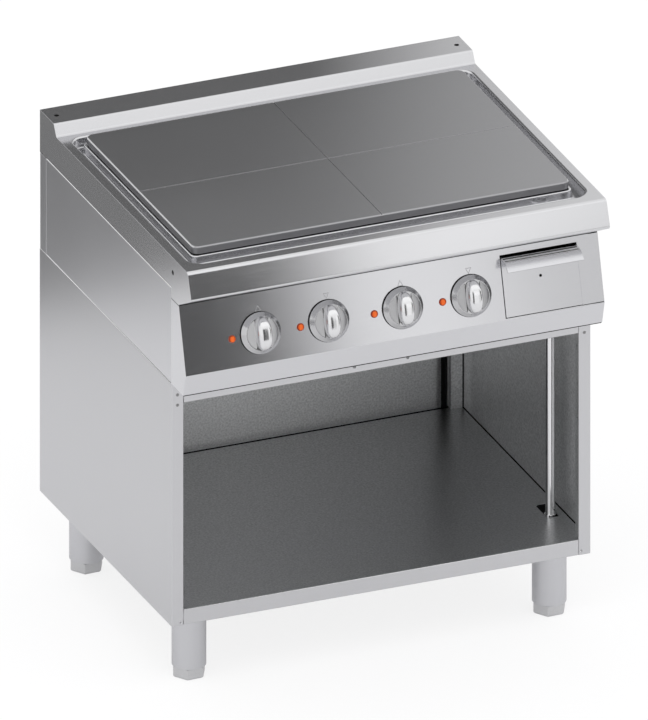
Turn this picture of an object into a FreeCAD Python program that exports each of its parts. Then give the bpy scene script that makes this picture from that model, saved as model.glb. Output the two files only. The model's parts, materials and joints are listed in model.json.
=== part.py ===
import FreeCAD, Part
import math
import os

# Electric cooker with one solid steel hot plate on an open stand.
# Frame in millimetres: X to the right, Y to the back, Z up.
# The origin is the centre of the footprint, on the floor that the feet stand on.

V = FreeCAD.Vector
os.makedirs("parts", exist_ok=True)

# Overall size and shared clearances
width = 800.0
depth = 700.0
height = 870.0
overrun = 6.0
seat_gap = 0.3
running_gap = 0.06

# Worktop: one pressed sheet with nose, skirts, upstand and trough
top_sheet = 2.0
upstand_top = 64.3
upstand_slope = 11.9
upstand_rise = 21.0
upstand_bend = 4.0
nose_height = 46.0
nose_lean = 17.0
nose_bend = 6.0
nose_fold = 3.0
nose_return = 58.5
nose_return_rise = 35.0
nose_flange = 11.5
skirt_height = 60.0
skirt_slit = 1.5
cheek_depth = 93.0
anchor_hole_diameter = 9.0
anchor_hole_side_inset = 18.0
anchor_hole_back_inset = 34.0
joining_hole_diameter = 8.0
joining_hole_front_inset = 85.0
joining_hole_drop = 29.0

# Trough pressed round the plate, and the raised rim that carries the plate
trough_side_margin = 20.0
trough_front_margin = 45.0
trough_back_margin = 15.8
trough_depth = 20.0
trough_front_radius = 28.0
trough_back_radius = 22.0
gutter_side = 16.0
gutter_front = 37.0
gutter_back = 15.0
rim_height = 16.0
rim_ledge = 12.0
rim_radius = 12.0
drain_side_inset = 94.0
drain_hole_radius = 12.0
drain_collar_radius = 17.0
drain_collar_height = 1.2

# Cooking plate and the tape that beds it
plate_thickness = 14.5
plate_setback = 3.5
plate_corner = 8.0
plate_edge = 2.0
groove_width = 1.6
groove_depth = 1.0
seal_thickness = 1.5
seal_width = 5.0
seal_setback = 3.0

# Flat strip heating elements, fibre board and the tray that holds them up
element_width = 14.0
element_height = 6.0
element_run = 250.0
element_pitch = 46.0
element_runs = 4
tab_blade_thickness = 2.0
tab_blade_length = 62.0
tab_blade_clearance = 2.0
board_thickness = 38.0
tray_sheet = 1.2
tray_flange = 6.5
thermostat_length = 42.0
thermostat_width = 26.0
thermostat_height = 22.0
thermostat_plate_length = 64.0
thermostat_plate_thickness = 2.0

# Control panel: leaning face, lower lip and closed cheeks
panel_sheet = 1.5
panel_height = 125.0
panel_lean = 33.5
panel_bend = 2.0
lip_height = 43.0
lip_lean = 11.5
panel_relief = 18.0
cheek_flange = 15.0

# Top box: side panels, wrapped rear panel and base sheet
box_sheet = 1.5
side_flange = 20.0
side_top_flange = 11.0
box_bend = 2.5
wrap_depth = 29.7
back_flange = 14.0
vent_count = 5
vent_length = 100.0
vent_height = 6.0
vent_pitch = 130.0
vent_row_pitch = 18.0
vent_drop = 46.0
base_sheet = 1.2
base_overlap = 33.0

# Knobs: round skirt with two scooped sides that leave a grip bar
knob_first_share = 0.2415
knob_pitch_share = 0.2129
knob_pair_extra = 10.5
knob_down = 74.4
knob_panel_gap = 0.6
knob_radius = 38.0
knob_rim_radius = 30.6
knob_rim_height = 12.6
knob_height = 32.0
knob_crown_radius = 22.5
grip_half_width = 12.6
grip_end_half_width = 7.4

# Energy regulators behind the panel, with their turning spindles
spindle_radius = 3.0
spindle_inside = 16.0
spindle_hole_gap = 0.6
regulator_width = 44.0
regulator_length = 50.0
regulator_depth = 32.0
regulator_plate = 1.5
regulator_plate_extra = 5.0
tab_width = 6.3
tab_thickness = 0.8
tab_length = 8.0
tab_pitch = 18.0

# Pilot lamps, one to the left of each knob
lamp_offset = 54.0
lamp_down = 77.0
lamp_lens_radius = 7.0
lamp_lens_height = 3.0
lamp_body_width = 9.0
lamp_body_length = 24.0
lamp_hole_gap = 0.2
lamp_catch = 1.2
lamp_catch_height = 5.0

# Collection drawer under the drain
drawer_side_inset = 43.0
drawer_width = 144.0
drawer_top_down = 18.0
drawer_face_height = 107.5
drawer_gap = 1.3
drawer_top_gap = 5.4
drawer_sheet = 1.5
drawer_hole_diameter = 5.2
drawer_hole_up = 66.6
handle_reach = 20.5
handle_lip_reach = 13.9
handle_lip_drop = 13.2
handle_bend = 2.0
drawer_tray_sheet = 1.0
drawer_tray_inset = 4.0
drawer_tray_bottom_up = 8.0
drawer_tray_height = 87.0
drawer_tray_length = 320.0
drawer_tray_hem = 5.0
runner_sheet = 1.2
runner_foot = 15.0
runner_ledge = 12.0
runner_guide = 22.0
runner_front_inset = 31.0
runner_back_extra = 4.0

# Drain spout from the trough down to the drawer
spout_wall = 1.0
spout_setback = 30.0
spout_end_gap = 7.0

# Stand: folded side panels, back wall, floor, crossbar and rear uprights
stand_sheet = 1.5
stand_front_inset = 90.0
stand_bottom = 126.0
post_width = 23.0
post_return = 15.0
post_rear_width = 24.0
stand_bend = 2.0
stand_flange = 20.0
floor_band = 30.0
floor_return = 15.0
passage_side_inset = 7.0
passage_width = 32.0
passage_front_inset = 195.0
passage_length = 61.0
passage_corner = 8.0
back_wall_flange = 12.0
crossbar_drop = 41.0
crossbar_top_flange = 25.0
crossbar_low_flange = 15.0
crossbar_hole_diameter = 5.5
crossbar_hole_spacing = 102.0
crossbar_hole_up = 12.0
upright_back_inset = 25.5
upright_width = 24.0
upright_return = 15.5
upright_depth = 21.0

# Cable conduit from the floor up into the top box, and the gland that grips it
conduit_side_inset = 29.0
conduit_front_inset = 207.0
conduit_radius = 8.5
conduit_wall = 1.0
conduit_bottom = 131.0
gland_across = 26.0
gland_height = 12.0
gland_cap_across = 20.0
gland_cap_height = 9.0

# Terminal block on the base sheet
terminal_side_inset = 100.0
terminal_back_inset = 210.0
terminal_poles = 5
terminal_pitch = 16.0
terminal_depth = 36.0
terminal_height = 30.0
terminal_base = 4.0
terminal_step = 11.0
terminal_rib = 2.0

# Legs and levelling feet
leg_side_inset = 56.0
leg_front_inset = 146.0
leg_back_inset = 80.0
leg_radius = 30.75
leg_plate = 80.0
leg_plate_thickness = 3.0
leg_screw_spacing = 64.0
leg_screw_across = 10.0
leg_screw_head = 5.0
foot_height = 21.0
foot_corner_radius = 31.0
foot_turn_degrees = 3.0
foot_chamfer = 3.0
stem_radius = 6.0
stem_length = 66.0
stem_end_gap = 3.0

# Levels and lines worked out from the sizes above
front_y = -depth / 2
back_y = depth / 2
side_x = width / 2
deck_z = height - upstand_rise
nose_z = deck_z - nose_height
panel_top_z = nose_z - nose_return_rise
panel_top_y = front_y + nose_return
panel_knee_z = panel_top_z - panel_height
panel_knee_y = panel_top_y - panel_lean
base_z = panel_knee_z - lip_height
base_y = panel_knee_y + lip_lean
skirt_z = deck_z - skirt_height
box_top_z = skirt_z - skirt_slit
seam_y = front_y + cheek_depth
upstand_y = back_y - upstand_top - upstand_slope
flange_end_y = panel_top_y + nose_flange
lean = math.atan2(panel_lean, panel_height)
trough_x = side_x - trough_side_margin
trough_front_y = front_y + trough_front_margin
trough_back_y = upstand_y - trough_back_margin
trough_z = deck_z - trough_depth
rim_x = trough_x - gutter_side
rim_front_y = trough_front_y + gutter_front
rim_back_y = trough_back_y - gutter_back
rim_z = trough_z + rim_height
plate_z = rim_z + seal_thickness
plate_x = rim_x - plate_setback
plate_front_y = rim_front_y + plate_setback
plate_back_y = rim_back_y - plate_setback
plate_mid_y = (plate_front_y + plate_back_y) / 2
opening_x = rim_x - rim_ledge
opening_front_y = rim_front_y + rim_ledge
opening_back_y = rim_back_y - rim_ledge
ledge_z = rim_z - top_sheet
board_top_z = plate_z - element_height
board_z = board_top_z - board_thickness
drain_x = side_x - drain_side_inset
drain_y = trough_front_y + gutter_front / 2
stand_front_y = front_y + stand_front_inset
floor_z = stand_bottom + floor_band
base_top_z = base_z + box_sheet + base_sheet
drawer_right_x = side_x - drawer_side_inset
drawer_left_x = drawer_right_x - drawer_width
drawer_mid_x = drawer_left_x + drawer_width / 2
drawer_bottom_down = drawer_top_down + drawer_face_height
conduit_x = side_x - conduit_side_inset
conduit_y = front_y + conduit_front_inset
leg_x = side_x - leg_side_inset
leg_front_y = front_y + leg_front_inset
leg_rear_y = back_y - leg_back_inset
leg_top_z = floor_z - stand_sheet
upright_y = back_y - upright_back_inset
knob_room = drawer_left_x + side_x
knob_first_x = knob_first_share * knob_room - side_x
knob_pitch = knob_pitch_share * knob_room
knob_x = [
    knob_first_x,
    knob_first_x + knob_pitch,
    knob_first_x + 2 * knob_pitch + knob_pair_extra,
    knob_first_x + 3 * knob_pitch + knob_pair_extra,
]


# Helpers for plain solids
def box(low_x, high_x, low_y, high_y, low_z, high_z):
    return Part.makeBox(high_x - low_x, high_y - low_y, high_z - low_z, V(low_x, low_y, low_z))


def spread(middle, half):
    return middle - half, middle + half


def rod(radius, start, direction, length):
    return Part.makeCylinder(radius, length, start, direction)


def mirrored(shape):
    return shape.mirror(V(0, 0, 0), V(1, 0, 0))


def fused(shapes):
    return shapes[0].multiFuse(shapes[1:]).removeSplitter()


# Helpers for outlines: corners are (first, second, bend radius)
def in_yz(x):
    return lambda y, z: V(x, y, z)


def in_xz(y):
    return lambda x, z: V(x, y, z)


def in_xy(z):
    return lambda x, y: V(x, y, z)


def toward(start, end):
    length = math.hypot(end[0] - start[0], end[1] - start[1])
    return ((end[0] - start[0]) / length, (end[1] - start[1]) / length)


def round_corner(before, corner, after):
    """Start, middle and end of the arc that rounds one corner."""
    back = toward(corner, before)
    ahead = toward(corner, after)
    half = math.acos(max(-1, min(1, back[0] * ahead[0] + back[1] * ahead[1]))) / 2
    reach = corner[2] / math.tan(half)
    middle = toward((0, 0), (back[0] + ahead[0], back[1] + ahead[1]))
    depth_in = corner[2] / math.sin(half) - corner[2]
    ends = [(corner[0] + way[0] * reach, corner[1] + way[1] * reach) for way in (back, ahead)]
    return ends[0], (corner[0] + middle[0] * depth_in, corner[1] + middle[1] * depth_in), ends[1]


def face(corners, place):
    """A flat face inside the closed outline, with its corners rounded."""
    count = len(corners)
    stops = []
    for i, corner in enumerate(corners):
        if corner[2] > 0:
            stops.append(round_corner(corners[i - 1], corner, corners[(i + 1) % count]))
        else:
            stops.append((corner[:2], None, corner[:2]))
    edges = []
    for i, (start, middle, end) in enumerate(stops):
        if middle:
            edges.append(Part.Arc(place(*start), place(*middle), place(*end)).toShape())
        following = stops[(i + 1) % count][0]
        edges.append(Part.LineSegment(place(*end), place(*following)).toShape())
    return Part.Face(Part.Wire(edges))


def shifted(corners, distance):
    """The open path moved to its left, with bend radii to match."""
    ways = [toward(a, b) for a, b in zip(corners, corners[1:])]
    moved = []
    for i, corner in enumerate(corners):
        before = ways[max(i - 1, 0)]
        after = ways[min(i, len(ways) - 1)]
        cross = before[0] * after[1] - before[1] * after[0]
        dot = before[0] * after[0] + before[1] * after[1]
        slide = distance * cross / (1 + dot)
        x = corner[0] - before[1] * distance - before[0] * slide
        y = corner[1] + before[0] * distance - before[1] * slide
        radius = corner[2] - distance if cross > 0 else corner[2] + distance
        moved.append((x, y, max(radius, 0) if corner[2] > 0 else 0))
    return moved


def sheet(corners, thickness, place):
    """The section of a bent sheet that lies to the left of its outer path."""
    return face(corners + shifted(corners, thickness)[::-1], place)


def rectangle(half_x, low_y, high_y, front_radius, back_radius):
    return [
        (-half_x, low_y, front_radius),
        (half_x, low_y, front_radius),
        (half_x, high_y, back_radius),
        (-half_x, high_y, back_radius),
    ]


def slab(corners, low_z, high_z):
    return face(corners, in_xy(low_z)).extrude(V(0, 0, high_z - low_z))


def broken_edges(shape, level, size):
    """Break all the edges that lie at one level."""
    chosen = []
    for edge in shape.Edges:
        heights = [vertex.Point.z for vertex in edge.Vertexes]
        if max(abs(z - level) for z in heights) < running_gap:
            chosen.append(edge)
    return shape.makeChamfer(size, chosen)


# Places on the leaning panel: down the slope from its top, out along its normal
def on_panel(x, down, out):
    y = panel_top_y - down * math.sin(lean) - out * math.cos(lean)
    z = panel_top_z - down * math.cos(lean) + out * math.sin(lean)
    return V(x, y, z)


def stand_on_panel(shape, x, down):
    """Turn a shape built along +Z so that +Z points out of the panel at the place."""
    turn = FreeCAD.Rotation(V(1, 0, 0), 90 - math.degrees(lean))
    shape.Placement = FreeCAD.Placement(on_panel(x, down, 0), turn)
    return shape


def panel_y(z):
    return panel_top_y - (panel_top_z - z) * math.tan(lean)


# Worktop
def worktop_shell():
    path = [
        (back_y, skirt_z, 0),
        (back_y, height, 0),
        (back_y - upstand_top, height, upstand_bend),
        (upstand_y, deck_z, upstand_bend),
        (front_y + nose_lean, deck_z, nose_bend),
        (front_y, nose_z, nose_fold),
        (panel_top_y, panel_top_z, 0),
    ]
    outside = path + [(seam_y, panel_top_z, 0), (seam_y, skirt_z, 0)]
    low = panel_top_z - overrun
    inner = shifted([(back_y, low, 0)] + path[1:] + [(flange_end_y, panel_top_z, 0)], top_sheet)
    void = inner + [(flange_end_y, low, 0)]
    inside_x = side_x - top_sheet
    shell = face(outside, in_yz(-side_x)).extrude(V(width, 0, 0))
    return shell.cut(face(void, in_yz(-inside_x)).extrude(V(2 * inside_x, 0, 0)))


def pan_outline(grow):
    return rectangle(
        trough_x + grow,
        trough_front_y - grow,
        trough_back_y + grow,
        trough_front_radius + grow,
        trough_back_radius + grow,
    )


def rim_outline(shrink):
    radius = rim_radius - shrink
    return rectangle(rim_x - shrink, rim_front_y + shrink, rim_back_y - shrink, radius, radius)


def opening_outline(inset):
    return rectangle(opening_x - inset, opening_front_y + inset, opening_back_y - inset, 0, 0)


def worktop():
    pan = slab(pan_outline(top_sheet), trough_z - top_sheet, deck_z - top_sheet)
    hollow = slab(pan_outline(0), trough_z, deck_z + overrun)
    rim = slab(rim_outline(0), trough_z - top_sheet, rim_z)
    under_rim = slab(rim_outline(top_sheet), trough_z - top_sheet - overrun, ledge_z)
    opening = slab(opening_outline(0), ledge_z - overrun, rim_z + overrun)
    top = worktop_shell().fuse(pan).cut(hollow).fuse(rim).cut(under_rim).cut(opening)
    top = top.removeSplitter()
    top = top.fuse(rod(drain_collar_radius, V(drain_x, drain_y, trough_z), V(0, 0, 1), drain_collar_height))
    cutters = [rod(drain_hole_radius, V(drain_x, drain_y, trough_z - overrun), V(0, 0, 1), 2 * overrun)]
    for sign in (-1, 1):
        x = sign * (side_x - anchor_hole_side_inset)
        anchor = V(x, back_y - anchor_hole_back_inset, height - overrun)
        cutters.append(rod(anchor_hole_diameter / 2, anchor, V(0, 0, 1), 2 * overrun))
        x = sign * (side_x - overrun)
        joining = V(x, front_y + joining_hole_front_inset, deck_z - joining_hole_drop)
        cutters.append(rod(joining_hole_diameter / 2, joining, V(sign, 0, 0), 2 * overrun))
    return top.cut(cutters)


# Cooking plate with its two engraved lines
def cooking_plate():
    outline = rectangle(plate_x, plate_front_y, plate_back_y, plate_corner, plate_corner)
    top_z = plate_z + plate_thickness
    plate = slab(outline, plate_z, top_z)
    plate = broken_edges(plate, top_z, plate_edge)
    half = groove_width / 2
    low_z = top_z - groove_depth
    across = box(-side_x, side_x, *spread(plate_mid_y, half), low_z, top_z + overrun)
    along = box(-half, half, front_y, back_y, low_z, top_z + overrun)
    return plate.cut([across, along])


def plate_seal():
    inset = seal_setback + seal_width
    outer = rectangle(plate_x - seal_setback, plate_front_y + seal_setback, plate_back_y - seal_setback, 0, 0)
    inner = rectangle(plate_x - inset, plate_front_y + inset, plate_back_y - inset, 0, 0)
    return slab(outer, rim_z, plate_z).cut(slab(inner, rim_z - overrun, plate_z + overrun))


# Heating elements: flat strips folded to and fro, one under each quarter of the plate
def zone_centre(number):
    x = plate_x / 2 if number % 2 == 0 else -plate_x / 2
    quarter = (plate_back_y - plate_front_y) / 4
    y = plate_mid_y - quarter if number <= 2 else plate_mid_y + quarter
    return x, y


def element_lines(number):
    x, y = zone_centre(number)
    first = y - element_pitch * (element_runs - 1) / 2
    return x, [first + element_pitch * i for i in range(element_runs)]


def tab_blade(number, line, clearance):
    """The blade at one end of the strip, or the slot for it, down through the board and tray."""
    x, lines = element_lines(number)
    half_y = element_width / 2 + clearance
    low_x = x - element_run / 2 - clearance
    high_x = low_x + tab_blade_thickness + 2 * clearance
    low_z = plate_z - tab_blade_length - clearance
    return box(low_x, high_x, *spread(lines[line], half_y), low_z, board_top_z + clearance)


def heating_element(number):
    x, lines = element_lines(number)
    half = element_run / 2
    half_y = element_width / 2
    pieces = [tab_blade(number, 0, 0), tab_blade(number, -1, 0)]
    for i, y in enumerate(lines):
        pieces.append(box(*spread(x, half), *spread(y, half_y), board_top_z, plate_z))
        if i + 1 < len(lines):
            low_x = x + half - element_width if i % 2 == 0 else x - half
            pieces.append(box(low_x, low_x + element_width, y, y + element_pitch, board_top_z, plate_z))
    return fused(pieces)


def blade_slots():
    return [tab_blade(number, line, tab_blade_clearance) for number in (1, 2, 3, 4) for line in (0, -1)]


def insulation_board():
    board = slab(opening_outline(tray_sheet + seat_gap), board_z, board_top_z)
    return board.cut(blade_slots())


def element_tray():
    tray = slab(opening_outline(-tray_flange), ledge_z - tray_sheet, ledge_z)
    tray = tray.fuse(slab(opening_outline(0), board_z - tray_sheet, ledge_z)).removeSplitter()
    tray = tray.cut(slab(opening_outline(tray_sheet), board_z, ledge_z + overrun))
    return tray.cut(blade_slots())


def safety_thermostat():
    top_z = board_z - tray_sheet
    body_z = top_z - thermostat_plate_thickness
    long_x = thermostat_plate_length / 2
    half = thermostat_length / 2
    wide = thermostat_width / 2
    plate = box(-long_x, long_x, plate_mid_y - wide, plate_mid_y + wide, body_z, top_z)
    body = box(-half, half, plate_mid_y - wide, plate_mid_y + wide, body_z - thermostat_height, body_z)
    tabs = []
    for sign in (-1, 1):
        x = sign * tab_pitch / 2
        low = body_z - thermostat_height - tab_length
        tabs.append(
            box(x - tab_width / 2, x + tab_width / 2, plate_mid_y, plate_mid_y + tab_thickness, low, body_z)
        )
    return fused([plate, body] + tabs)


# Top box
def hob_side_right():
    inner_x = side_x - top_sheet - seat_gap
    top = deck_z - top_sheet
    path = [
        (side_x - side_flange, base_z, 0),
        (side_x, base_z, box_bend),
        (side_x, box_top_z, 0),
        (inner_x, box_top_z, 0),
        (inner_x, top, 0),
        (inner_x - side_top_flange, top, 0),
    ]
    wrap_y = back_y - wrap_depth - seat_gap
    panel = sheet(path, box_sheet, in_xz(seam_y)).extrude(V(0, wrap_y - seam_y, 0))
    wall_x = side_x - box_sheet
    low_z = base_top_z + seat_gap
    front = box(wall_x - cheek_flange, wall_x, seam_y, seam_y + box_sheet, low_z, box_top_z - box_sheet)
    rear = front.translated(V(0, wrap_y - seam_y - box_sheet, 0))
    return fused([panel, front, rear])


def vent_slots():
    low = box_top_z - vent_drop
    first = -vent_pitch * (vent_count - 1) / 2
    slots = []
    for row in (0, 1):
        z = low - row * vent_row_pitch
        for i in range(vent_count):
            x = first + i * vent_pitch
            slots.append(box(*spread(x, vent_length / 2), *spread(back_y, overrun), z, z + vent_height))
    return slots


def hob_back():
    inner_y = back_y - top_sheet - seat_gap
    top = height - top_sheet
    path = [
        (back_y, base_z, 0),
        (back_y, box_top_z, 0),
        (inner_y, box_top_z, 0),
        (inner_y, top, 0),
        (inner_y - back_flange, top, 0),
    ]
    half = side_x - top_sheet - seat_gap
    wall = sheet(path, box_sheet, in_yz(-half)).extrude(V(2 * half, 0, 0))
    wrap_y = back_y - wrap_depth
    wrap = [
        (side_x, wrap_y, 0),
        (side_x, back_y, box_bend),
        (-side_x, back_y, box_bend),
        (-side_x, wrap_y, 0),
    ]
    corners = sheet(wrap, box_sheet, in_xy(base_z)).extrude(V(0, 0, box_top_z - base_z))
    joined = fused([wall, corners])
    return joined.cut(vent_slots())


def hob_floor():
    half = side_x - box_bend
    low = base_z + box_sheet
    front = seam_y - base_overlap
    floor = box(-half, half, front, back_y - box_sheet - seat_gap, low, low + base_sheet)
    hole = rod(conduit_radius - conduit_wall, V(conduit_x, conduit_y, low - overrun), V(0, 0, 1), 3 * overrun)
    return floor.cut(hole)


# Control panel
def control_panel():
    path = [
        (seam_y, base_z, 0),
        (base_y, base_z, panel_bend),
        (panel_knee_y, panel_knee_z, panel_bend),
        (panel_top_y, panel_top_z, 0),
        (flange_end_y, panel_top_z, 0),
    ]
    outside = path + [(seam_y, panel_top_z, 0)]
    inside = shifted([(seam_y + overrun, base_z, 0)] + path[1:], -panel_sheet)
    inside = inside + [(flange_end_y, panel_top_z + overrun, 0), (seam_y + overrun, panel_top_z + overrun, 0)]
    inside_x = side_x - panel_sheet
    shell = face(outside, in_yz(-side_x)).extrude(V(width, 0, 0))
    shell = shell.cut(face(inside, in_yz(-inside_x)).extrude(V(2 * inside_x, 0, 0)))
    flanges = []
    cutters = []
    for sign in (-1, 1):
        ends = sorted((sign * inside_x, sign * (inside_x - cheek_flange)))
        low = base_top_z + seat_gap
        high = panel_top_z - skirt_slit
        flanges.append(box(ends[0], ends[1], seam_y - panel_sheet, seam_y, low, high))
        ends = sorted((sign * (side_x + overrun), sign * (side_x - panel_relief)))
        cutters.append(box(ends[0], ends[1], front_y, seam_y + overrun, high, panel_top_z + overrun))
    for x in knob_x:
        start = on_panel(x, knob_down, -overrun)
        out = on_panel(x, knob_down, 0) - start
        cutters.append(rod(spindle_radius + spindle_hole_gap, start, out, 2 * overrun))
        half = lamp_body_width / 2 + lamp_hole_gap
        hole = box(-half, half, -half, half, -overrun, overrun)
        cutters.append(stand_on_panel(hole, x - lamp_offset, lamp_down))
    opening_high = drawer_face_height + drawer_gap + drawer_top_gap
    opening = box(
        -drawer_width / 2 - drawer_gap, drawer_width / 2 + drawer_gap, 0, opening_high, -overrun, overrun
    )
    cutters.append(stand_on_panel(opening, drawer_mid_x, drawer_bottom_down + drawer_gap))
    return fused([shell] + flanges).cut(cutters)


# Knobs and regulators, built along +Z and then stood on the panel
def knob_body():
    profile = [
        (0, 0, 0),
        (knob_radius, 0, 0),
        (knob_rim_radius, knob_rim_height, 0),
        (knob_crown_radius, knob_height, 0),
        (0, knob_height, 0),
    ]
    return face(profile, in_xz(0)).revolve(V(0, 0, 0), V(0, 0, 1), 360)


def grip_side(sign):
    """A wide cylinder whose flank is one side of the barrel-shaped grip bar."""
    bulge = grip_half_width - grip_end_half_width
    flank = (knob_rim_radius**2 + bulge**2) / (2 * bulge)
    return rod(flank, V(sign * (grip_half_width - flank), 0, 0), V(0, 0, 1), knob_height)


def knob(number):
    """Skirt and grip bar, with the spindle that it turns fused to its back."""
    body = knob_body()
    skirt = body.common(rod(knob_radius, V(0, 0, 0), V(0, 0, 1), knob_rim_height))
    bar = body.common(grip_side(-1)).common(grip_side(1))
    spindle_start = -panel_sheet - spindle_inside - knob_panel_gap
    spindle = rod(spindle_radius, V(0, 0, spindle_start), V(0, 0, 1), -spindle_start)
    shape = fused([skirt, bar, spindle])
    shape.translate(V(0, 0, knob_panel_gap))
    return stand_on_panel(Part.Compound([shape]), knob_x[number - 1], knob_down)


def regulator(number):
    top = -panel_sheet
    plate_top = top - regulator_plate
    half_x = regulator_width / 2
    half_y = regulator_length / 2
    ends = half_y + regulator_plate_extra
    pieces = [
        box(-half_x, half_x, -ends, ends, plate_top, top),
        box(-half_x, half_x, -half_y, half_y, plate_top - regulator_depth, plate_top),
    ]
    for sign in (-1, 1):
        x = sign * tab_pitch / 2
        low = plate_top - regulator_depth - tab_length
        pieces.append(
            box(x - tab_width / 2, x + tab_width / 2, half_y / 2, half_y / 2 + tab_thickness, low, plate_top)
        )
    deep = spindle_inside + panel_sheet + seat_gap
    bore = rod(spindle_radius + running_gap, V(0, 0, -deep), V(0, 0, 1), deep)
    shape = fused(pieces).cut(bore)
    return stand_on_panel(Part.Compound([shape]), knob_x[number - 1], knob_down)


def pilot_lamps():
    """Round lenses on the panel, each with its square body snapped in behind."""
    half = lamp_body_width / 2
    catch_x = half + lamp_catch
    catch_top = -panel_sheet
    lamps = []
    for x in knob_x:
        lens = rod(lamp_lens_radius, V(0, 0, 0), V(0, 0, 1), lamp_lens_height)
        body = box(-half, half, -half, half, -lamp_body_length, 0)
        catch = box(-catch_x, catch_x, -half, half, catch_top - lamp_catch_height, catch_top)
        lamp = Part.Compound([fused([lens, body, catch])])
        lamps.append(stand_on_panel(lamp, x - lamp_offset, lamp_down).Solids[0])
    return Part.Compound(lamps)


# Collection drawer
def drawer_front():
    thick = drawer_sheet
    low = on_panel(0, drawer_bottom_down, -thick)
    top_z = on_panel(0, drawer_top_down, 0).z
    back_top_y = panel_y(top_z) + thick / math.cos(lean)
    lip_y = panel_y(top_z) - handle_reach
    path = [
        (low.y, low.z, 0),
        (back_top_y, top_z, handle_bend),
        (lip_y, top_z, handle_bend),
        (lip_y - handle_lip_reach, top_z - handle_lip_drop, 0),
    ]
    section = sheet(path, thick, in_yz(drawer_left_x))
    front = section.extrude(V(drawer_width, 0, 0))
    start = on_panel(drawer_mid_x, drawer_bottom_down - drawer_hole_up + drawer_sheet, -overrun)
    out = on_panel(drawer_mid_x, 0, overrun) - on_panel(drawer_mid_x, 0, 0)
    return front.cut(rod(drawer_hole_diameter / 2, start, out, 2 * overrun))


def drawer_tray():
    low_z = on_panel(0, drawer_bottom_down, 0).z + drawer_tray_bottom_up
    high_z = low_z + drawer_tray_height
    behind = drawer_sheet / math.cos(lean)
    back = panel_y(low_z) + drawer_tray_length
    outside = [
        (panel_y(low_z) + behind, low_z, 0),
        (back, low_z, 0),
        (back, high_z, 0),
        (panel_y(high_z) + behind, high_z, 0),
    ]
    wall = drawer_tray_sheet
    slope_wall = wall / math.cos(lean)
    inside = [
        (panel_y(low_z + wall) + behind + slope_wall, low_z + wall, 0),
        (back - wall, low_z + wall, 0),
        (back - wall, high_z + overrun, 0),
        (panel_y(high_z + overrun) + behind + slope_wall, high_z + overrun, 0),
    ]
    left = drawer_left_x + drawer_tray_inset
    long_x = drawer_width - 2 * drawer_tray_inset
    tray = face(outside, in_yz(left)).extrude(V(long_x, 0, 0))
    tray = tray.cut(face(inside, in_yz(left + wall)).extrude(V(long_x - 2 * wall, 0, 0)))
    hems = []
    hem_y = panel_y(high_z) + behind + slope_wall
    for low_x in (left + wall, left + long_x - wall - drawer_tray_hem):
        hems.append(box(low_x, low_x + drawer_tray_hem, hem_y, back - wall, high_z - wall, high_z))
    return fused([tray] + hems)


def drawer_runner(right):
    low_z = on_panel(0, drawer_bottom_down, 0).z + drawer_tray_bottom_up - seat_gap
    outer_x = drawer_right_x - drawer_tray_inset + seat_gap + runner_sheet
    path = [
        (outer_x - runner_foot, base_top_z, 0),
        (outer_x, base_top_z, 0),
        (outer_x, low_z, 0),
        (outer_x - runner_ledge, low_z, 0),
    ]
    start = panel_knee_y + runner_front_inset
    end = panel_y(low_z) + drawer_tray_length + runner_back_extra
    rail = sheet(path, runner_sheet, in_xz(start)).extrude(V(0, end - start, 0))
    guide = box(outer_x - runner_sheet, outer_x, start, end, low_z - runner_sheet, low_z + runner_guide)
    shape = fused([rail, guide])
    if right:
        return shape
    return mirrored(shape).translated(V(2 * drawer_mid_x, 0, 0))


def drain_spout():
    """A straight pipe that slants back from under the trough to clear the panel."""
    tray_top = on_panel(0, drawer_bottom_down, 0).z + drawer_tray_bottom_up + drawer_tray_height
    end_z = tray_top + spout_end_gap
    top_z = trough_z - top_sheet
    slant = V(0, spout_setback, end_z - top_z)
    start = V(drain_x, drain_y, top_z) - slant
    outer = rod(drain_hole_radius + spout_wall, start, slant, 3 * slant.Length)
    inner = rod(drain_hole_radius, start, slant, 3 * slant.Length)
    keep = box(drain_x - width, drain_x + width, front_y, back_y, end_z, top_z)
    return outer.cut(inner).common(keep)


# Stand
def cabinet_side_right():
    path = [
        (side_x - post_width, stand_front_y + post_return, 0),
        (side_x - post_width, stand_front_y, stand_bend),
        (side_x, stand_front_y, stand_bend),
        (side_x, back_y, 0),
        (side_x - post_rear_width, back_y, 0),
    ]
    panel = sheet(path, stand_sheet, in_xy(stand_bottom)).extrude(V(0, 0, base_z - stand_bottom))
    wall_x = side_x - stand_sheet
    low_y = stand_front_y + post_return
    high_y = upright_y - seat_gap
    top = box(side_x - stand_flange, wall_x, low_y, high_y, base_z - stand_sheet, base_z)
    bottom = box(side_x - stand_flange, wall_x, low_y, high_y, stand_bottom, stand_bottom + stand_sheet)
    return fused([panel, top, bottom])


def rear_upright_right():
    wall_x = side_x - stand_sheet
    path = [
        (wall_x - upright_width, upright_y + upright_return, 0),
        (wall_x - upright_width, upright_y, 0),
        (wall_x, upright_y, 0),
        (wall_x, upright_y + upright_depth, 0),
    ]
    return sheet(path, stand_sheet, in_xy(floor_z)).extrude(V(0, 0, base_z - stand_sheet - floor_z))


def cabinet_back():
    wall_y = back_y - stand_sheet
    path = [
        (wall_y - back_wall_flange, stand_bottom, 0),
        (wall_y, stand_bottom, 0),
        (wall_y, base_z, 0),
        (wall_y - back_wall_flange, base_z, 0),
    ]
    half = side_x - stand_sheet - seat_gap
    return sheet(path, stand_sheet, in_yz(-half)).extrude(V(2 * half, 0, 0))


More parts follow.
